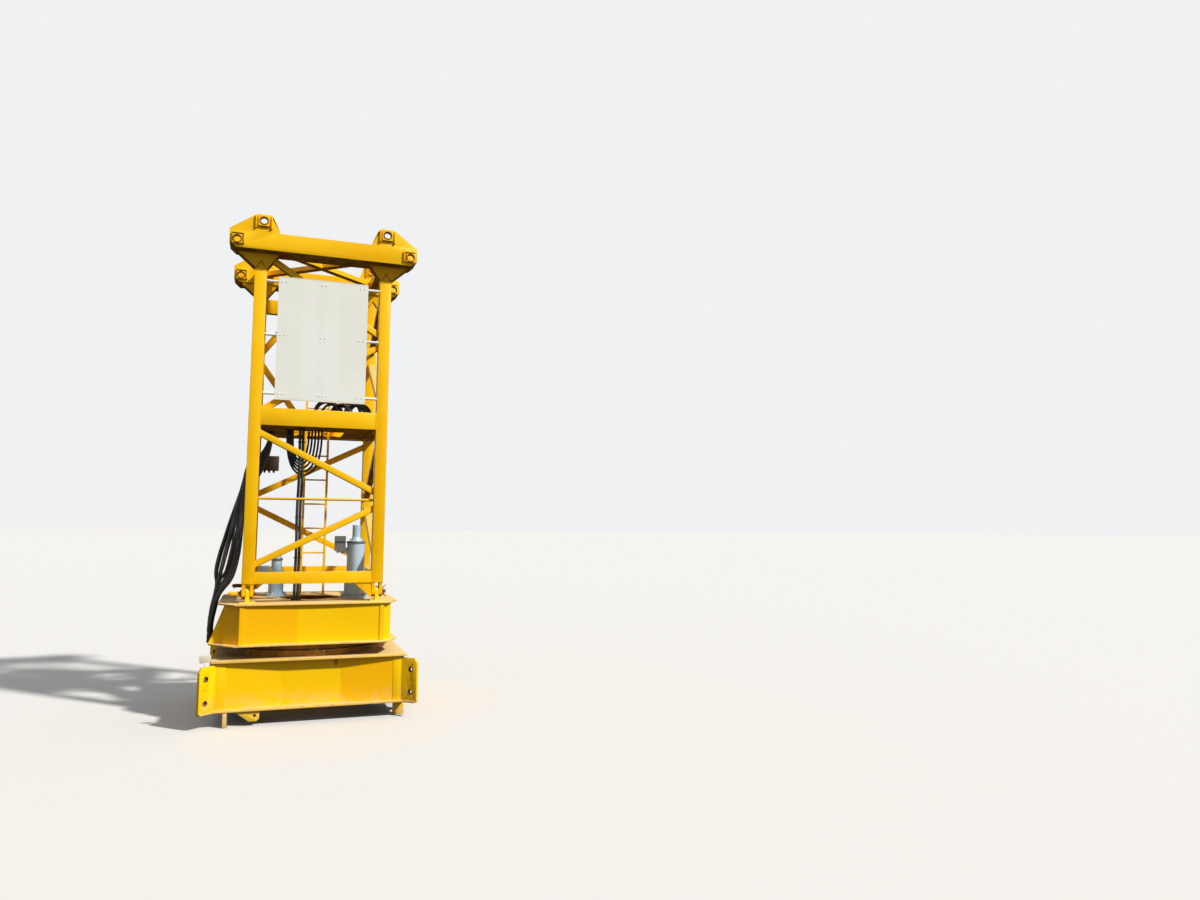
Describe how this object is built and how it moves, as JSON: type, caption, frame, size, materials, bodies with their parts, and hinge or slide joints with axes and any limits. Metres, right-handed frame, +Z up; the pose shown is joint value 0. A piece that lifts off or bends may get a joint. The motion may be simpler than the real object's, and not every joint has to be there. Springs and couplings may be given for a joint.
{
  "type": "tower crane slewing unit",
  "caption": "Slewing unit of a tower crane: fixed ring support, slewing ring and turning platform with a lattice mast section and pinned head lugs.",
  "frame": {"origin": "on the ground at the slewing axis", "axes": "+Z up along the slewing axis, +X to the right along the front face, +Y towards the back"},
  "size_m": [2.0916, 2.0916, 5.17],
  "materials": {
    "yellow_paint": "semi-gloss, weathered",
    "ring_steel": "greasy and dusty",
    "pin_steel": "rusty",
    "motor_paint": "satin",
    "board_paint": "satin",
    "box_paint": "matte",
    "cable_rubber": "matte"
  },
  "bodies": {
    "ring_support": {"support_bottom_plate": "yellow_paint", "support_top_plate": "yellow_paint", "support_web_front": "yellow_paint", "support_web_right": "yellow_paint", "support_web_back": "yellow_paint", "support_web_left": "yellow_paint", "support_drum": "yellow_paint", "corner_plates": "yellow_paint", "foot_plates": "yellow_paint", "lashing_lugs": "yellow_paint", "slewing_ring_fixed": "ring_steel"},
    "slewing_platform": {"slewing_ring_rotating": "ring_steel", "platform_bottom_plate": "yellow_paint", "platform_top_plate": "yellow_paint", "platform_web_front": "yellow_paint", "platform_web_right": "yellow_paint", "platform_web_back": "yellow_paint", "platform_web_left": "yellow_paint", "platform_drum": "yellow_paint", "mast_lugs": "yellow_paint", "mast_pins": "pin_steel", "slew_drive_left": "motor_paint", "slew_drive_right": "motor_paint", "leg_front_left": "yellow_paint", "leg_front_right": "yellow_paint", "leg_back_right": "yellow_paint", "leg_back_left": "yellow_paint", "lower_beam_front": "yellow_paint", "lower_beam_right": "yellow_paint", "lower_beam_back": "yellow_paint", "lower_beam_left": "yellow_paint", "mid_beam_front": "yellow_paint", "mid_beam_right": "yellow_paint", "mid_beam_back": "yellow_paint", "mid_beam_left": "yellow_paint", "mid_deck": "yellow_paint", "bracing_front": "yellow_paint", "bracing_right": "yellow_paint", "bracing_back": "yellow_paint", "bracing_left": "yellow_paint", "head_beam_front": "yellow_paint", "head_beam_back": "yellow_paint", "head_plan_bracing": "yellow_paint", "sign_board": "board_paint", "ladder": "yellow_paint", "junction_box": "box_paint", "riser_cables": "cable_rubber", "cable_loops": "cable_rubber", "cable_bundle": "cable_rubber"}
  },
  "joints": [
    {"name": "slewing", "type": "hinge", "parent": "ring_support", "child": "slewing_platform", "pos_m": [0, 0, 0.6985], "axis": [0, 0, 1], "continuous": true}
  ]
}
